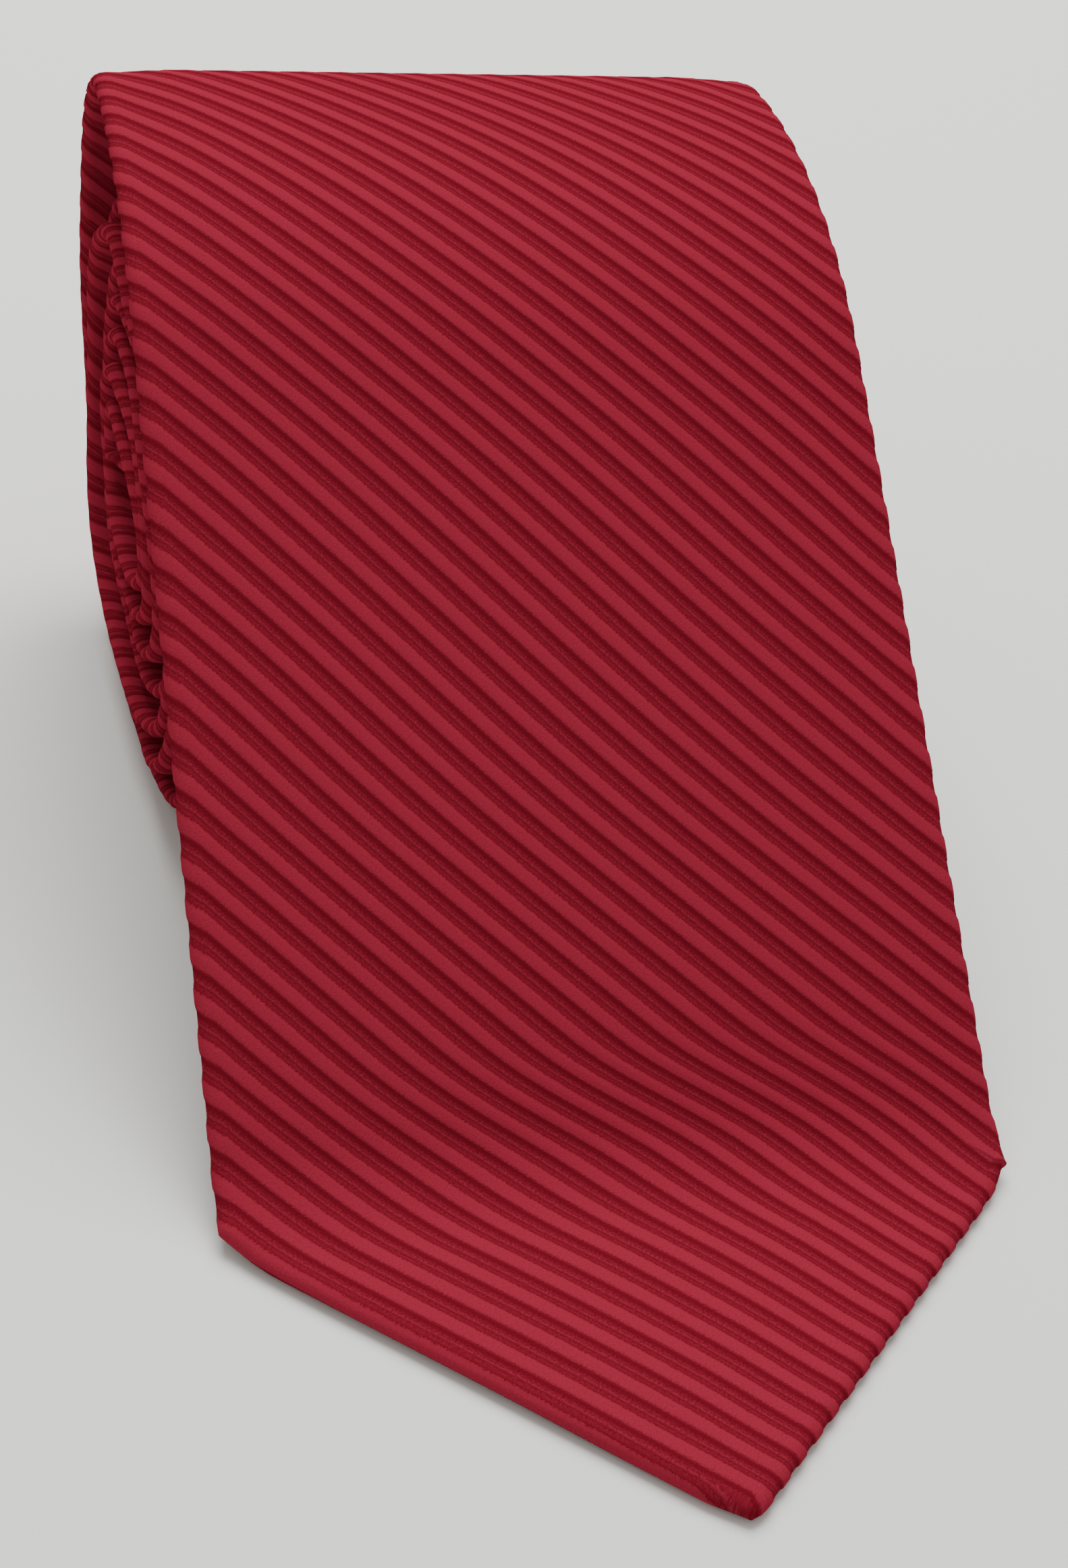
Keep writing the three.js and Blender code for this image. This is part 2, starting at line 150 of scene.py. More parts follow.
WOOL_CUT_AT = 205  # the front wool passes to the roll's
WOOL_EDGE_GAP = 4
WOOL_POINT_GAP = 7
LINING_THICKNESS = 0.25
LINING_CLEARANCE = 0.35
LINING_OVERLAP = 2.5  # how far it goes under the hems
WOOL_JOIN_GAP = 0.4
FINE_THREAD = 0.2  # radius of the tacks and stitches
TACK_HALF_WIDTH = 3
TACK_PASSES = 6
KEEPER_TACK_INSET = 3  # from the keeper's end to the middle of its tack
KEEPER_TACK_HALF_WIDTH = 1.5
KEEPER_TACK_PASSES = 22
STITCH_INSET = 0.4  # from the end of the row of stitches to the edge of the keeper or label
BEHIND = -TIE_THICKNESS - GAP  # just behind the tie


# ---- camera ---------------------------------------------------------------------------------------------


def add_camera():
    yaw = math.radians(18.2)
    down = math.radians(33.4)
    roll = math.radians(7.2)
    forward = Vector((math.sin(yaw) * math.cos(down), math.cos(yaw) * math.cos(down), -math.sin(down)))
    level_right = Vector((math.cos(yaw), -math.sin(yaw), 0))
    level_up = level_right.cross(forward)
    right = math.cos(roll) * level_right + math.sin(roll) * level_up
    up = math.cos(roll) * level_up - math.sin(roll) * level_right
    data = bpy.data.cameras.new("camera")
    data.sensor_fit = "VERTICAL"
    data.sensor_height = 36
    data.lens = 64.64
    data.clip_start = 0.01
    camera = bpy.data.objects.new("camera", data)
    turn = Matrix((right, up, -forward)).transposed().to_4x4()
    camera.matrix_world = Matrix.Translation(Vector((-82.9, -254.2, 196.3)) * MM) @ turn
    bpy.context.collection.objects.link(camera)
    bpy.context.scene.camera = camera


# ---- the rolled path ------------------------------------------------------------------------------------


class FabricPath:
    """The tie's rolled front face in the YZ plane, as samples (s, y, z, angle)."""

    def __init__(self, y, z):
        self.samples = [(0.0, y, z, 0.0)]

    def add_point(self, y, z, angle):
        s, last_y, last_z, _ = self.samples[-1]
        self.samples.append((s + math.hypot(y - last_y, z - last_z), y, z, angle))

    def line(self, length):
        _, y, z, angle = self.samples[-1]
        self.add_point(y + length * math.cos(angle), z + length * math.sin(angle), angle)

    def arc(self, radius, turn):
        _, y, z, angle = self.samples[-1]
        side = math.copysign(1, turn)
        steps = math.ceil(abs(turn) / math.radians(1))
        for i in range(1, steps + 1):
            a = angle + turn * i / steps
            dy = side * radius * (math.sin(a) - math.sin(angle))
            dz = side * radius * (math.cos(angle) - math.cos(a))
            self.add_point(y + dy, z + dz, a)

    def quarter(self, y1, z1):
        _, y0, z0, angle0 = self.samples[-1]
        starts_level = abs(math.sin(angle0)) < 0.5
        for phi in np.linspace(0, math.pi / 2, 61)[1:]:
            sine, cosine = math.sin(phi), math.cos(phi)
            share_y, share_z = (sine, 1 - cosine) if starts_level else (1 - cosine, sine)
            rate_y, rate_z = (cosine, sine) if starts_level else (sine, cosine)
            angle = math.atan2((z1 - z0) * rate_z, (y1 - y0) * rate_y)
            while angle > self.samples[-1][3] + 0.01:
                angle -= 2 * math.pi
            self.add_point(y0 + (y1 - y0) * share_y, z0 + (z1 - z0) * share_z, angle)

    def bend_to(self, y1, z1):
        _, y0, z0, angle = self.samples[-1]
        width, height = abs(y1 - y0), abs(z1 - z0)
        reach = min(width, MAX_FLATNESS * height, height * height / MIN_BEND_RADIUS)
        level = width - reach
        starts_level = abs(math.sin(angle)) < 0.5
        if starts_level and level > 0:
            self.line(level)
        self.quarter(y1 if starts_level else y0 + math.copysign(reach, y1 - y0), z1)
        if not starts_level and level > 0:
            self.line(level)


def rolled_path():
    path = FabricPath(0, TIE_THICKNESS)
    path.line(FOOT_LENGTH)
    path.arc(FOOT_RADIUS, RAMP_ANGLE)
    crown_drop = CROWN_RADIUS * (1 - math.cos(RAMP_ANGLE))
    path.line((ROLL_HEIGHT - crown_drop - path.samples[-1][2]) / math.sin(RAMP_ANGLE))
    path.arc(CROWN_RADIUS, -RAMP_ANGLE)
    for turn in range(TURNS):
        inset = turn * (TURN_PITCH + turn * PITCH_GROWTH)
        rest_half = REST_HALF_LENGTH * (1 - turn / TURNS)
        top, inner_top = path.samples[-1][2], INNER_TOP - inset
        back_height = INNER_BACK_HEIGHT if turn else OUTER_BACK_HEIGHT
        path.bend_to(ROLL_BACK - inset, inset + (top - inset) * back_height)
        path.bend_to(ROLL_MIDDLE + rest_half, inset)
        path.line(2 * rest_half)
        if turn < TURNS - 1:
            path.bend_to(ROLL_FRONT + inset, inset + (inner_top - inset) * FRONT_HEIGHT)
            path.bend_to(INNER_TOP_MIDDLE, inner_top)
    path.line(TAIL_RUN)
    return np.array(path.samples)


PATH = rolled_path()
PATH_OFFSET_Y = CAD_BOX[0][1] / MM - TIP_START


def smoothstep(x, low, high):
    u = np.clip((np.asarray(x, float) - low) / (high - low), 0, 1)
    return u * u * (3 - 2 * u)


def half_width(s):
    blade = BLADE_WIDTH + (NECK_WIDTH - BLADE_WIDTH) * smoothstep(s, NARROWING_START, NECK_AT)
    return (blade + (TAIL_WIDTH - NECK_WIDTH) * smoothstep(s, NECK_AT, TIE_LENGTH)) / 2


def side_step(s):
    return -SIDE_STEP * smoothstep(s, SIDE_STEP_START, SIDE_STEP_START + SIDE_STEP_LENGTH)


def place(s, t, n):
    """Points in metres, in the frame, of points of the flat tie."""
    s, t, n = np.broadcast_arrays(*(np.asarray(v, float) for v in (s, t, n)))
    y, z, angle = (np.interp(s, PATH[:, 0], PATH[:, i]) for i in (1, 2, 3))
    points = (t + side_step(s), y - n * np.sin(angle) + PATH_OFFSET_Y, z + n * np.cos(angle))
    return np.stack(points, axis=-1) * MM


# ---- ribs ---------------------------------------------------------------------------------------------


def rib_drift(s, t):
    """How far the pulled bias cloth carries its ribs from straight 45 degree lines, along the tie."""
    swirl = -4.4 * smoothstep(s, 2, 44) * (1 - smoothstep(s, 46, 60)) * np.exp(-(((t - 9) / 31) ** 2))
    sway = -0.7 - 4.4 * smoothstep(s, 80, 134) - 0.9 * smoothstep(s, 148, 172)
    skew = -0.015 * t - 0.0009 * t**2 * (1 - smoothstep(s, 95, 118))
    return swirl + smoothstep(s, 24, 50) * (sway + skew)


def rib_relief(c):
    """Height of the ribs at c, which counts along the tie: a smooth raised band and a low twilled valley."""
    phase = np.abs((np.asarray(c, float) / RIB_PITCH - 0.94 + 0.5) % 1 - 0.5)
    band = 1 - smoothstep(phase, 0.17, 0.31)
    return RIB_HEIGHT * (band - 1)


# ---- meshes ---------------------------------------------------------------------------------------------


def grid_faces(rows, columns, first=0, closed=False):
    """Quads between neighbouring rows of a grid of vertices. Closed joins its last column to its first."""
    span = columns if closed else columns - 1
    i, j = np.meshgrid(np.arange(rows - 1), np.arange(span), indexing="ij")
    a = first + i * columns + j
    b = first + i * columns + (j + 1) % columns
    return np.stack([a, b, b + columns, a + columns], axis=-1).reshape(-1, 4)


def make_mesh(name, points, faces, uv=None):
    mesh = bpy.data.meshes.new(name)
    mesh.from_pydata(points.reshape(-1, 3).tolist(), [], [list(map(int, f)) for f in faces])
    if uv is not None:
        layer = mesh.uv_layers.new(name="cloth")
        corners = np.zeros(len(mesh.loops), int)
        mesh.loops.foreach_get("vertex_index", corners)
        layer.data.foreach_set("uv", uv.reshape(-1, 2)[corners].astype(np.float32).ravel())
    mesh.polygons.foreach_set("use_smooth", [True] * len(mesh.polygons))
    return mesh


def make_object(name, mesh, material):
    piece = bpy.data.objects.new(name, mesh)
    bpy.context.collection.objects.link(piece)
    mesh.materials.append(material)
    return piece


def weld(mesh, distance=1e-6):
    work = bmesh.new()
    work.from_mesh(mesh)
    bmesh.ops.remove_doubles(work, verts=work.verts, dist=distance)
    work.to_mesh(mesh)
    work.free()


def thicken(piece, thickness):
    """Turns a single layer into closed cloth, with the thickness on its inner side."""
    solid = piece.modifiers.new("thickness", "SOLIDIFY")
    solid.thickness = thickness * MM
    solid.offset = -1
    graph = bpy.context.evaluated_depsgraph_get()
    mesh = bpy.data.meshes.new_from_object(piece.evaluated_get(graph))
    piece.modifiers.clear()
    piece.data = mesh


# ---- the shell: one layer of ribbed cloth, folded round both edges ---------------------------------------


class Point:
    """One pointed end of the tie. Its own (s, t) start at its tip and run inwards."""

    def __init__(self, corner, hems_meet_at, turned):
        self.corner = corner
        self.meet = hems_meet_at
        self.turned = turned

    def to_tie(self, s, t):
        return (TIE_LENGTH - s, -t) if self.turned else (s, t)

    def half_width(self, s):
        return half_width(self.to_tie(s, 0)[0])

    def opening(self, s):
        """Half the gap between the folded edges behind the tie, past the corners."""
        widest = self.corner - HEM_START
        return np.maximum(SLIT_HALF_WIDTH, widest * (self.meet - s) / (self.meet - self.corner))


BLADE = Point(BLADE_WIDTH / 2, HEMS_MEET_AT, False)
TAIL = Point(TAIL_WIDTH / 2, TAIL_HEMS_MEET_AT, True)


def fan(ends, count):
    """count + 1 even steps from the first of ends to the last, along a new last axis."""
    first, last = (np.asarray(v, float)[..., None] for v in ends)
    return first + (last - first) * np.linspace(0, 1, count + 1)


def shell_cloth(name, end, k0, k1, rows_per_rib, columns, material):
    """The cloth between the ribs k0 and k1 from one end's point. Its rows follow the ribs across the front,
    fold round both edges, and run straight to the middle behind. Where k0 is 0 the point is hemmed too."""
    wing, fold, front = columns
    inset = FOLD_BULGE * math.sqrt(2)
    k_first = max(k0, inset)
    steps = max(2, round((k1 - k_first) * rows_per_rib / RIB_PITCH))
    k = np.linspace(k_first, k1, steps + 1)
    far = np.linspace(0, TIE_LENGTH, EDGE_SAMPLES)
    flat_half = end.half_width(far) - FOLD_BULGE
    left_s = np.interp(k, far - flat_half, far)
    right_s = np.interp(k, far + flat_half, far)
    corner_k = end.corner * 2 - FOLD_BULGE
    pointed = k < corner_k
    right_s = np.where(pointed, (k + inset) / 2, right_s)
    left_t = left_s * 0 - np.interp(left_s, far, flat_half)
    right_t = k - right_s

    corner_s = left_s[0] if k0 < inset else end.corner

    def inner_edge(share):
        """The hem's inner edge, from behind the tip (0) to behind the corner (1), on the right."""
        return HEM_START + (corner_s - HEM_START) * share, end.opening(corner_s) * share

    def creased(s):
        return smoothstep(end.to_tie(s, 0)[0], CREASED_FROM, CREASED_TO)

    def puff(s):
        """How much wider the folds of the rolled turns stand out here and there."""
        uneven = 0.10 * np.sin(0.17 * s) + 0.14 * np.sin(0.07 * s + 1)
        return 1 + uneven * creased(s)

    theta = np.linspace(0, math.pi, fold + 1)
    sunk = -EDGE_DROP - FOLD_RADIUS * (1 - np.cos(theta))
    bulge = FOLD_BULGE * np.sin(theta)
    arc = FOLD_RADIUS * theta

    def side(base_s, base_t, out_s, out_t, inner_s, inner_t, c, c_rate):
        """Fold and wing, from the front's edge to the inner edge behind. Its c moves on at c_rate."""
        s_fold = base_s[:, None] + out_s[:, None] * bulge
        t_fold = base_t[:, None] + out_t[:, None] * bulge * puff(base_s)[:, None]
        s_wing = fan((base_s, inner_s), wing)[:, 1:]
        t_wing = fan((base_t, inner_t), wing)[:, 1:]
        s = np.concatenate([s_fold, s_wing], axis=1)
        t = np.concatenate([t_fold, t_wing], axis=1)
        n = np.concatenate([sunk, np.full(wing, -TIE_THICKNESS)]) + 0 * s
        run = np.hypot(s_wing - base_s[:, None], t_wing - base_t[:, None]) + math.pi * FOLD_RADIUS
        run = np.concatenate([arc + 0 * s_fold, run], axis=1)
        c_all = c[:, None] + c_rate[:, None] * run
        facing = np.concatenate([np.sin(theta), np.zeros(wing)])
        upward = np.concatenate([np.cos(theta), -np.ones(wing)])
        pressed = 1 - CREASED_RELIEF * creased(base_s)
        relief = np.concatenate([np.ones(fold + 1), np.zeros(wing)]) * pressed[:, None]
        drift_at = (base_s[:, None] + 0 * s, base_t[:, None] + 0 * s)
        return dict(s=s, t=t, n=n, c=c_all, out_s=out_s[:, None] * facing, out_t=out_t[:, None] * facing,
                    up=upward + 0 * s, relief=relief, drift=rib_drift(*end.to_tie(*drift_at)))

    share = np.clip((k - k_first) / (corner_k - k_first), 0, 1)
    hem_s, hem_t = inner_edge(share)
    diagonal = np.where(pointed, 1 - smoothstep(k, corner_k - HEM_TURN, corner_k), 0)
    at_tip = 1 - smoothstep(k, k_first, k_first + HEM_TURN) if k0 < inset else 0 * k
    out_s = -diagonal * math.sqrt(0.5) * (1 - at_tip) - at_tip
    out_t = np.sqrt(np.maximum(0, 1 - out_s**2))
    right = side(right_s, right_t, out_s, out_t,
                 np.where(pointed, hem_s, right_s), np.where(pointed, hem_t, end.opening(right_s)),
                 k, np.where(pointed, 0.0, 1.0))
    left = side(left_s, left_t, 0 * k, 0 * k - 1, left_s, -end.opening(left_s), k, 0 * k - 1)
    middle_t = fan((left_t, right_t), front)[:, 1:-1]
    middle_s = k[:, None] - middle_t
    flat = 0 * middle_s
    from_sides = np.minimum(middle_t - left_t[:, None], right_t[:, None] - middle_t)
    from_point = (middle_s - np.abs(middle_t) - inset) / math.sqrt(2)
    drop = 1 - smoothstep(np.minimum(from_sides, from_point), 0, EDGE_DROP_WIDTH)
    middle = dict(s=middle_s, t=middle_t, n=-EDGE_DROP * drop, c=k[:, None] + flat, out_s=flat, out_t=flat,
                  up=flat + 1, relief=flat + 1, drift=rib_drift(*end.to_tie(middle_s, middle_t)))
    parts = [{key: value[:, ::-1] for key, value in left.items()}, middle, right]
    whole = {key: np.concatenate([part[key] for part in parts], axis=1) for key in middle}
    grids = [whole]
    if k0 < inset:  # the hem along the edge that the ribs run along
        s, t = k_first - fan((left_t, right_t), front)[0], fan((left_t, right_t), front)[0]
        hem_share = t / t[0]
        hem_s, hem_t = inner_edge(hem_share)
        near_corner = smoothstep(hem_share, 1 - HEM_TURN / end.corner, 1)
        near_tip = 1 - smoothstep(hem_share, 0, HEM_TURN / end.corner)
        hem_out_s = -math.sqrt(0.5) * (1 - near_corner) * (1 - near_tip) - near_tip
        hem_out_t = -np.sqrt(np.maximum(0, 1 - hem_out_s**2))
        c = np.full(len(s), k_first)
        rate = -(math.sqrt(2) * (1 - near_tip) * (1 - near_corner) + near_corner)
        hem = side(s, t, hem_out_s, hem_out_t, hem_s, -hem_t, c, rate)
        grids.append({key: value.T[::-1] for key, value in hem.items()})
    points, faces, uvs, first = [], [], [], 0
    for grid in grids:
        tie_c = TIE_LENGTH - grid["c"] if end.turned else grid["c"]
        c = tie_c + grid["drift"]
        height = rib_relief(c) * grid["relief"]
        s, t = end.to_tie(grid["s"] + grid["out_s"] * height, grid["t"] + grid["out_t"] * height)
        points.append(place(s, t, grid["n"] + grid["up"] * height).reshape(-1, 3))
        along = (grid["s"] - grid["t"]) / RIB_PITCH
        uvs.append(np.stack([c / RIB_PITCH, along], axis=-1).reshape(-1, 2))
        rows, width = grid["s"].shape
        faces.append(grid_faces(rows, width, first))
        first += rows * width
    mesh = make_mesh(name, np.concatenate(points), np.concatenate(faces), np.concatenate(uvs))
    weld(mesh)
    piece = make_object(name, mesh, material)
    thicken(piece, SHELL_THICKNESS)
    return piece


# ---- inside and sewn pieces -------------------------------------------------------------------------------


def even(s0, s1, step):
    return np.linspace(s0, s1, max(2, round((s1 - s0) / step)) + 1)


def slab(name, span, half, top, thickness, material, columns=16, step=1.5):
    """A closed strip along the tie. half(s) is its half width and top(s, t) the height of its upper face."""
    s = even(*span, step)
    t = half(s)[:, None] * np.linspace(-1, 1, columns + 1)
    s = s[:, None] + 0 * t
    upper = top(s, t)
    edge = 0.35 * thickness * (np.abs(t) > half(s) - 1e-6)  # the long edges are rounded
    n = np.concatenate([upper - edge, (upper - thickness + edge)[:, ::-1]], axis=1)
    s = np.concatenate([s, s], axis=1)
    t = np.concatenate([t, t[:, ::-1]], axis=1)
    rows, width = t.shape
    faces = grid_faces(rows, width, closed=True).tolist()
    for first in (0, (rows - 1) * width):
        last = first + width - 1
        faces += [(first + j, first + j + 1, last - 1 - j, last - j) for j in range(columns)]
    uv = np.stack([(s + t) / RIB_PITCH, (s - t) / RIB_PITCH], axis=-1)
    mesh = make_mesh(name, place(s, t, n), faces, uv)
    weld(mesh)
    return make_object(name, mesh, material)


def thread(name, s, t, n, material, radius=THREAD / 2, sides=8):
    """A round sewing thread through points of the tie."""
    centre = place(s, t, n)
    ahead = np.gradient(centre, axis=0)
    ahead /= np.linalg.norm(ahead, axis=1, keepdims=True)
    turn = np.linspace(0, 2 * math.pi, sides + 1)
    across = np.cross(ahead[0], (0.3, 0.5, 0.8))
    rings = []
    for point, along in zip(centre, ahead):
        across = across - along * across.dot(along)
        across /= np.linalg.norm(across)
        other = np.cross(along, across)
        rings.append(point + radius * MM * (np.outer(np.cos(turn), across) + np.outer(np.sin(turn), other)))
    run = np.concatenate([[0], np.cumsum(np.linalg.norm(np.diff(centre, axis=0), axis=1))]) / MM
    uv = np.stack([run[:, None] + 0 * turn, turn / (2 * math.pi) + 0 * run[:, None]], axis=-1)
    faces = grid_faces(len(rings), sides + 1).tolist()
    last = (len(rings) - 1) * (sides + 1)
    faces += [list(range(sides + 1)), [last + j for j in range(sides, -1, -1)]]
    mesh = make_mesh(name, np.array(rings), faces, uv)
    weld(mesh)
    return make_object(name, mesh, material)


def zigzag(start, end, count, points=7):
    """Passes back and forth from start to end, count of them, with a few points in each."""
    there = np.linspace(start, end, points)
    return np.concatenate([there if i % 2 == 0 else there[::-1] for i in range(count)])


# ---- materials ------------------------------------------------------------------------------------------


class Shader:
    """A material with a Principled shader, and short ways to add nodes to it."""

    def __init__(self, name, roughness, sheen=0.0, specular=0.3):
        self.material = bpy.data.materials.new(name)
        self.material.use_nodes = True
        self.tree = self.material.node_tree
        self.principled = self.tree.nodes["Principled BSDF"]
        self.principled.inputs["Roughness"].default_value = roughness
        self.principled.inputs["Sheen Weight"].default_value = sheen
        self.principled.inputs["Sheen Roughness"].default_value = 0.4
        self.principled.inputs["Specular IOR Level"].default_value = specular

    def node(self, kind, inputs=(), **settings):
        node = self.tree.nodes.new(kind)
        for key, value in settings.items():
            setattr(node, key, value)
        for key, value in dict(inputs).items():
            self.feed(node.inputs[key], value)
        return node

    def feed(self, socket, value):
        if isinstance(value, bpy.types.NodeSocket):
            self.tree.links.new(value, socket)
        else:
            socket.default_value = value

    def math(self, operation, a, b=0.0, c=0.0):
        return self.node("ShaderNodeMath", {0: a, 1: b, 2: c}, operation=operation).outputs[0]

    def ramp(self, factor, stops):
        node = self.node("ShaderNodeValToRGB", {0: factor})
        elements = node.color_ramp.elements
        while len(elements) < len(stops):
            elements.new(0.5)
        for element, (position, colour) in zip(elements, stops):
            element.position = position
            element.color = (*colour, 1) if len(colour) == 3 else (colour[0],) * 3 + (1,)
        return node.outputs[0]

    def mix(self, factor, a, b, blend="MIX"):
        node = self.node("ShaderNodeMix", data_type="RGBA", blend_type=blend)
        for socket, value in ((node.inputs[0], factor), (node.inputs[6], a), (node.inputs[7], b)):
            self.feed(socket, value)
        return node.outputs[2]


def rib_silk():
    shader = Shader("ribbed_silk", roughness=0.6, specular=0.0)
    uv = shader.node("ShaderNodeUVMap", uv_map="cloth").outputs[0]
    split = shader.node("ShaderNodeSeparateXYZ", {0: uv})
    threads = shader.node("ShaderNodeVectorMath", {0: uv, 1: (16, 13, 1)}, operation="MULTIPLY").outputs[0]
    grain = shader.node("ShaderNodeTexNoise", {"Vector": threads, "Scale": 1.0, "Detail": 2.0}).outputs[0]
    # the woven flanks end in small teeth
    teeth = shader.math("MULTIPLY_ADD", grain, 0.16, split.outputs[0])
    phase = shader.math("FRACT", shader.math("SUBTRACT", teeth, 0.08))
    # the raised satin bands and the thin line keep the silk's own colour; the twilled flanks and the grooves
    # of the valley are painted darker, as painted shade between the bands
    satin = (0.262, 0.018, 0.036)
    shaded_twill = (0.20, 0.012, 0.025)
    groove_shade = (0.15, 0.007, 0.016)
    line = (0.245, 0.019, 0.036)
    # the colour of dark specks laid only in the valley: painted shade
    speck_shade_colour = (0.10, 0.003, 0.007, 1)
    weave = shader.ramp(phase, [
        (0.0, satin), (0.15, satin), (0.20, groove_shade), (0.23, shaded_twill), (0.31, shaded_twill), (0.35, groove_shade),
        (0.39, line), (0.43, line), (0.46, shaded_twill), (0.52, shaded_twill), (0.58, groove_shade), (0.66, groove_shade),
        (0.71, shaded_twill), (0.76, satin), (1.0, satin),
    ])
    # the specks follow the thread grain, and their darkness, kept to the valley, is painted shade in the
    # recess
    valley_shade_mask = shader.ramp(phase, [(0.1, (0.0,)), (0.2, (1.0,)), (0.66, (1.0,)), (0.78, (0.0,))])
    speck = shader.ramp(grain, [(0.40, (0.0,)), (0.62, (1.0,))])
    dark = shader.math("MULTIPLY", speck, valley_shade_mask)
    colour = shader.mix(shader.math("MULTIPLY", dark, 0.6), weave, speck_shade_colour)
    fine = shader.math("MULTIPLY_ADD", grain, 0.5, 0.75)
    colour = shader.mix(1.0, colour, fine, "MULTIPLY")
    shader.feed(shader.principled.inputs["Base Color"], colour)
    height = shader.ramp(phase, [
        (0.0, (0.7,)), (0.15, (0.7,)), (0.20, (0.35,)), (0.25, (0.55,)), (0.32, (0.55,)), (0.35, (0.1,)),
        (0.41, (0.65,)), (0.46, (0.4,)), (0.55, (0.55,)), (0.60, (0.5,)), (0.65, (0.2,)), (0.73, (0.7,)),
        (1.0, (0.7,)),
    ])
    grain_height = shader.math("MULTIPLY_ADD", grain, 0.5, height)
    bump = shader.node("ShaderNodeBump", {"Strength": 0.6, "Distance": 0.00012, "Height": grain_height})
    shader.feed(shader.principled.inputs["Normal"], bump.outputs[0])
    return shader.material


def soft_surface(name, colour, dark, roughness, scale, bump_distance, sheen, stretch=(1, 1, 1)):
    """Cloth with a fine uneven surface: scale is its features in a rib's width."""
    shader = Shader(name, roughness=roughness, sheen=sheen, specular=0.25)
    uv = shader.node("ShaderNodeUVMap", uv_map="cloth").outputs[0]
    spread = shader.node("ShaderNodeVectorMath", {0: uv, 1: stretch}, operation="MULTIPLY").outputs[0]
    grain = shader.node("ShaderNodeTexNoise", {"Vector": spread, "Scale": scale, "Detail": 4.0}).outputs[0]
    shader.feed(shader.principled.inputs["Base Color"], shader.ramp(grain, [(0.3, dark), (0.7, colour)]))
    bump = shader.node("ShaderNodeBump", {"Strength": 0.7, "Distance": bump_distance * MM, "Height": grain})
    shader.feed(shader.principled.inputs["Normal"], bump.outputs[0])
    return shader.material


def twisted_thread():
    shader = Shader("sewing_thread", roughness=0.5, sheen=0.2, specular=0.3)
    uv = shader.node("ShaderNodeUVMap", uv_map="cloth").outputs[0]
    split = shader.node("ShaderNodeSeparateXYZ", {0: uv})
    ply = shader.math("FRACT", shader.math("MULTIPLY_ADD", split.outputs[0], 1.1, split.outputs[1]))
    height = shader.ramp(ply, [(0.0, (0.0,)), (0.2, (0.8,)), (0.5, (1.0,)), (0.8, (0.8,)), (1.0, (0.0,))])
    # the dips between the plies are painted darker than the ply tops, as painted shade in the recesses
    ply_gap_shade = (0.10, 0.004, 0.012, 1)
    ply_top = (0.34, 0.02, 0.045, 1)
    colour = shader.mix(height, ply_gap_shade, ply_top)
    shader.feed(shader.principled.inputs["Base Color"], colour)
    bump = shader.node("ShaderNodeBump", {"Strength": 0.8, "Distance": 0.08 * MM, "Height": height})
    shader.feed(shader.principled.inputs["Normal"], bump.outputs[0])
    return shader.material


# ---- studio ---------------------------------------------------------------------------------------------


def add_area_light(name, power, size, location, target=(0, 0, 0.03)):
    """A soft square light. Power is in watts, and lengths are in metres."""
    data = bpy.data.lights.new(name, "AREA")
    data.shape = "SQUARE"
    data.size = size
    data.energy = power
    light = bpy.data.objects.new(name, data)
    aim = Vector(target) - Vector(location)
    light.matrix_world = Matrix.Translation(location) @ aim.to_track_quat("-Z", "Y").to_matrix().to_4x4()
    bpy.context.collection.objects.link(light)


def add_studio():
    world = bpy.data.worlds.new("studio")
    world.use_nodes = True
    world.node_tree.nodes["Background"].inputs["Color"].default_value = (0.88, 0.89, 0.87, 1)
    world.node_tree.nodes["Background"].inputs["Strength"].default_value = 0.66
    bpy.context.scene.world = world
    shader = Shader("floor", roughness=0.8)
    shader.principled.inputs["Base Color"].default_value = (0.83, 0.84, 0.80, 1)
    corners = np.array([(-4, -4, 0), (4, -4, 0), (4, 4, 0), (-4, 4, 0)], float)
    floor = make_object("floor", make_mesh("floor", corners, [(0, 1, 2, 3)]), shader.material)
    add_area_light("key", power=15, size=0.8, location=(0.1, 0.45, 0.9))
    add_area_light("fill", power=1.5, size=1.2, location=(-0.5, -0.9, 0.8))


# ---- build ----------------------------------------------------------------------------------------------

add_camera()
silk = rib_silk()
# after the ribs it runs between, each cloth has its rows in a rib and its columns in a wing, fold and front
blade_cloth = shell_cloth("blade_cloth", BLADE, 0, CUT_AT, 12, (14, 8, 34), silk)
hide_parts("blade_shell")
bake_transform(blade_cloth)

outer_cloth = shell_cloth("outer_turn_cloth", BLADE, CUT_AT, OUTER_TURN_END, 8, (20, 8, 26), silk)
inner_cloth = shell_cloth("inner_turn_cloth", BLADE, OUTER_TURN_END, FRONT_JOIN_AT, 8, (20, 8, 20), silk)
neck_cloth = shell_cloth("neck_cloth", BLADE, FRONT_JOIN_AT + SEAM_GAP, TAIL_JOIN_AT, 6, (10, 8, 16), silk)
tail_cloth = shell_cloth("tail_cloth", TAIL, 0, TIE_LENGTH - TAIL_JOIN_AT - SEAM_GAP, 6, (10, 8, 16), silk)


def finish_piece(piece, nodes, body):
    """Hides a piece's CAD nodes and attaches the piece to its body. With a body of None it is attached to no
    body and keeps its place in the frame.
    """
    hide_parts(*nodes)
    if body:
        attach(piece, body)
    else:
        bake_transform(piece)


finish_piece(outer_cloth, ["upper_blade_shell"], "roll")
finish_piece(inner_cloth, ["upper_blade_shell"], "roll")
finish_piece(neck_cloth, ["neck_shell"], "roll")
finish_piece(tail_cloth, ["tail_shell"], "roll")

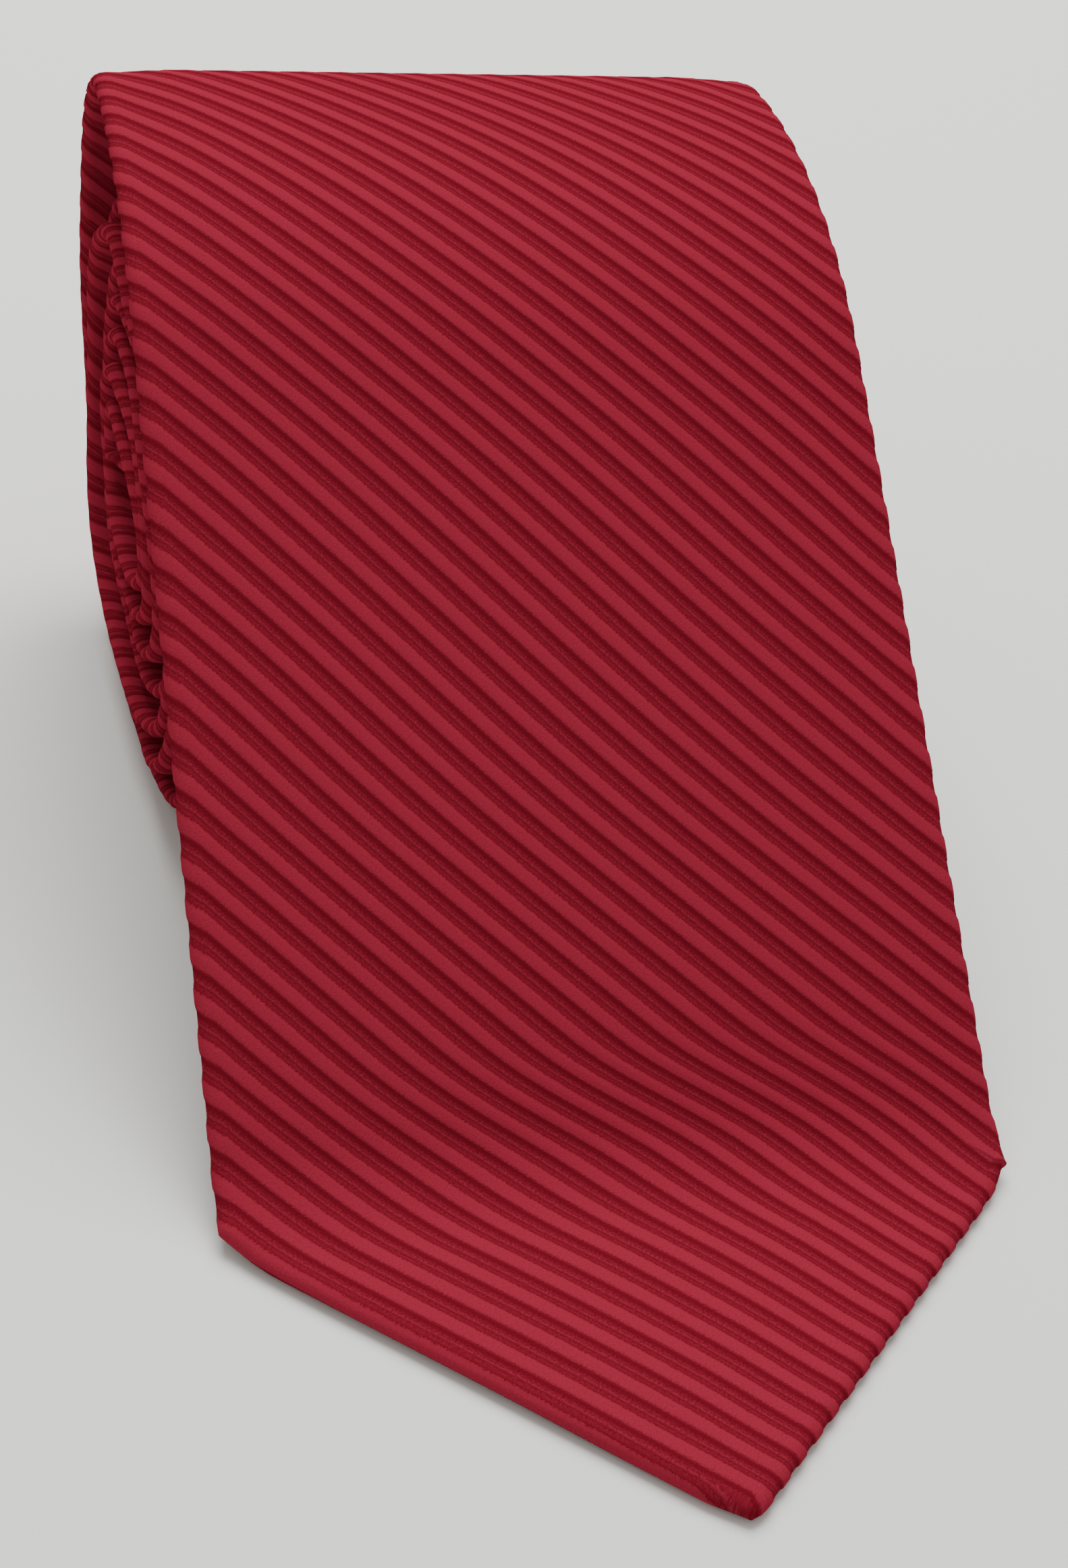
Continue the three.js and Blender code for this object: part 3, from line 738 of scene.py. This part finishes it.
wool = soft_surface("wool_interlining", (0.80, 0.74, 0.63), (0.52, 0.46, 0.37), 0.95, 5.0, 0.25, 0.4)
satin = soft_surface("tipping_satin", (0.40, 0.02, 0.05), (0.26, 0.01, 0.03), 0.35, 9.0, 0.04, 0.1, (6, 1, 1))
label_satin = soft_surface(
    "label_satin", (0.03, 0.03, 0.037), (0.014, 0.014, 0.018), 0.4, 12.0, 0.04, 0.1, (5, 1, 1))
care_satin = soft_surface(
    "care_satin", (0.85, 0.84, 0.80), (0.70, 0.69, 0.65), 0.45, 12.0, 0.04, 0.1, (5, 1, 1))
sewing = twisted_thread()


def below_front(s, t):
    """The upper face of the interlining, which follows the shell's pressed edges."""
    drop = 1 - smoothstep(half_width(s) - np.abs(t), 0, EDGE_DROP_WIDTH)
    return -SHELL_THICKNESS - RIB_HEIGHT - EDGE_DROP * drop


def pad_half(s):
    """Half the wool's width: it stops short of the folds and of both points."""
    return np.minimum(half_width(s) - WOOL_EDGE_GAP, np.minimum(s, TIE_LENGTH - s) - WOOL_POINT_GAP)


front_wool_span = (INTERLINING_START, WOOL_CUT_AT)
middle_wool_span = (WOOL_CUT_AT + SEAM_GAP, INTERLINING_JOIN_AT - WOOL_JOIN_GAP / 2)
tail_wool_span = (INTERLINING_JOIN_AT + WOOL_JOIN_GAP / 2, TIE_LENGTH - INTERLINING_START)
for name, span, node, body, flat, area in (
    ("front_wool", front_wool_span, "blade_interlining", None, (0.078, 0.195), 0.0138),
    ("middle_wool", middle_wool_span, "upper_interlining", "roll", (0.073, 0.5345), 0.0300),
    ("tail_wool", tail_wool_span, "tail_interlining", "roll", (0.036, 0.646), 0.0188),
):
    piece = slab(name, span, pad_half, below_front, INTERLINING_THICKNESS, wool)
    finish_piece(piece, [node], body)


def lining_half(point):
    """Half the tipping's width: it fills the opening between the hems and goes a little under them."""

    def half(s):
        from_tip = TIE_LENGTH - s if point.turned else s
        in_point = np.minimum(from_tip, point.corner) - HEM_START
        return np.where(from_tip < point.corner, in_point, point.opening(from_tip)) + LINING_OVERLAP
    return half


def lining_top(s, t):
    return -TIE_THICKNESS + SHELL_THICKNESS + LINING_CLEARANCE + 0 * s


lining_start = HEM_START + SLIT_HALF_WIDTH
front_span = (lining_start, HEMS_MEET_AT)
front_lining = slab("front_lining", front_span, lining_half(BLADE), lining_top, LINING_THICKNESS, satin)
finish_piece(front_lining, ["front_tipping"], "blade")
tail_span = (TIE_LENGTH - TAIL_HEMS_MEET_AT, TIE_LENGTH - lining_start)
tail_lining = slab("tail_lining", tail_span, lining_half(TAIL), lining_top, LINING_THICKNESS, satin)
finish_piece(tail_lining, ["tail_tipping"], "roll")


def keeper_top(s, t):
    """The keeper stands off the cloth between its two sewn ends."""
    sewn_down = smoothstep(np.abs(t), KEEPER_OPEN_HALF_WIDTH - 2, KEEPER_OPEN_HALF_WIDTH + 4)
    return BEHIND - KEEPER_DROP * (1 - sewn_down)


def flat_top(s, t):
    """A label's face, which is not quite flat."""
    return BEHIND - 0.06 * (1 + np.sin(0.5 * s + 0.23 * t))


def constant(half):
    """The half width of a strip whose long edges are parallel."""
    return lambda s: half + 0 * s


keeper = slab("keeper_band", (KEEPER_AT, KEEPER_AT + KEEPER_LENGTH), constant(KEEPER_HALF_WIDTH), keeper_top,
              KEEPER_THICKNESS, silk, columns=90, step=0.5)
finish_piece(keeper, ["keeper_loop"], "roll")
maker_span = (MAKER_LABEL_AT, MAKER_LABEL_AT + MAKER_LABEL_LENGTH)
maker = slab("maker_patch", maker_span, constant(MAKER_LABEL_HALF_WIDTH), flat_top, LABEL_THICKNESS,
             label_satin, columns=40, step=0.6)
finish_piece(maker, ["maker_label"], "roll")
care_span = (CARE_LABEL_AT, CARE_LABEL_AT + CARE_LABEL_LENGTH)
care = slab("care_patch", care_span, constant(CARE_LABEL_HALF_WIDTH), flat_top, LABEL_THICKNESS,
            care_satin, columns=30, step=0.6)
finish_piece(care, ["care_label"], "roll")


def slip_thread(name, s0, s1):
    """The long loose thread in the middle of the back, wandering a little to each side."""
    s = even(s0, s1, 1.0)
    sunk = -TIE_THICKNESS + THREAD / 2 + 0.1
    return thread(name, s, 0.3 * np.sin(s * 0.55), sunk + 0.08 * np.sin(s * 0.9), sewing)


front_slip = slip_thread("front_slip_thread", HEMS_MEET_AT, CUT_AT)
finish_piece(front_slip, ["blade_slip_stitch"], None)
slip = slip_thread("slip_thread", CUT_AT + 0.2, TIE_LENGTH - TAIL_HEMS_MEET_AT)
finish_piece(slip, ["slip_stitch"], "roll")
for name, s, node, body in (
    ("front_tack", FRONT_TACK_AT, "front_bar_tack", "blade"),
    ("tail_tack", TAIL_TACK_AT, "tail_bar_tack", "roll"),
):
    t = zigzag(-TACK_HALF_WIDTH, TACK_HALF_WIDTH, TACK_PASSES)
    tack = thread(name, s + np.linspace(-0.6, 0.6, len(t)), t, BEHIND + 0 * t + 0.1, sewing, FINE_THREAD)
    finish_piece(tack, [node], body)
for side, sign in (("left", -1), ("right", 1)):
    t = zigzag(-KEEPER_TACK_HALF_WIDTH, KEEPER_TACK_HALF_WIDTH, KEEPER_TACK_PASSES, 4)
    t = t + sign * (KEEPER_HALF_WIDTH - KEEPER_TACK_INSET)
    s = np.linspace(KEEPER_AT + STITCH_INSET, KEEPER_AT + KEEPER_LENGTH - STITCH_INSET, len(t))
    tack = thread(f"keeper_tack_thread_{side}", s, t, BEHIND - KEEPER_THICKNESS - 0.15 + 0 * t, sewing,
                  FINE_THREAD)
    finish_piece(tack, [f"keeper_tack_{side}"], "roll")
    s = even(MAKER_LABEL_AT + STITCH_INSET, MAKER_LABEL_AT + MAKER_LABEL_LENGTH - STITCH_INSET, 0.25)
    n = BEHIND - LABEL_THICKNESS - 0.1 + 0.3 * np.sin(s * 2.4)
    stitch = thread(f"label_thread_{side}", s, sign * (MAKER_LABEL_HALF_WIDTH - 1) + 0 * s, n, sewing,
                    FINE_THREAD)
    finish_piece(stitch, [f"label_stitch_{side}"], "roll")
for name, s, node in (
    ("front_join_thread", FRONT_JOIN_AT, "front_join_stitch"),
    ("tail_join_thread", TAIL_JOIN_AT, "tail_join_stitch"),
):
    t = even(-half_width(s) + 1.5, half_width(s) - 1.5, 0.4)
    join = thread(name, s + 0.15 * np.sin(t * 3), t, -0.35 + 0.1 * np.cos(t * 3), sewing, FINE_THREAD)
    finish_piece(join, [node], "roll")

add_studio()
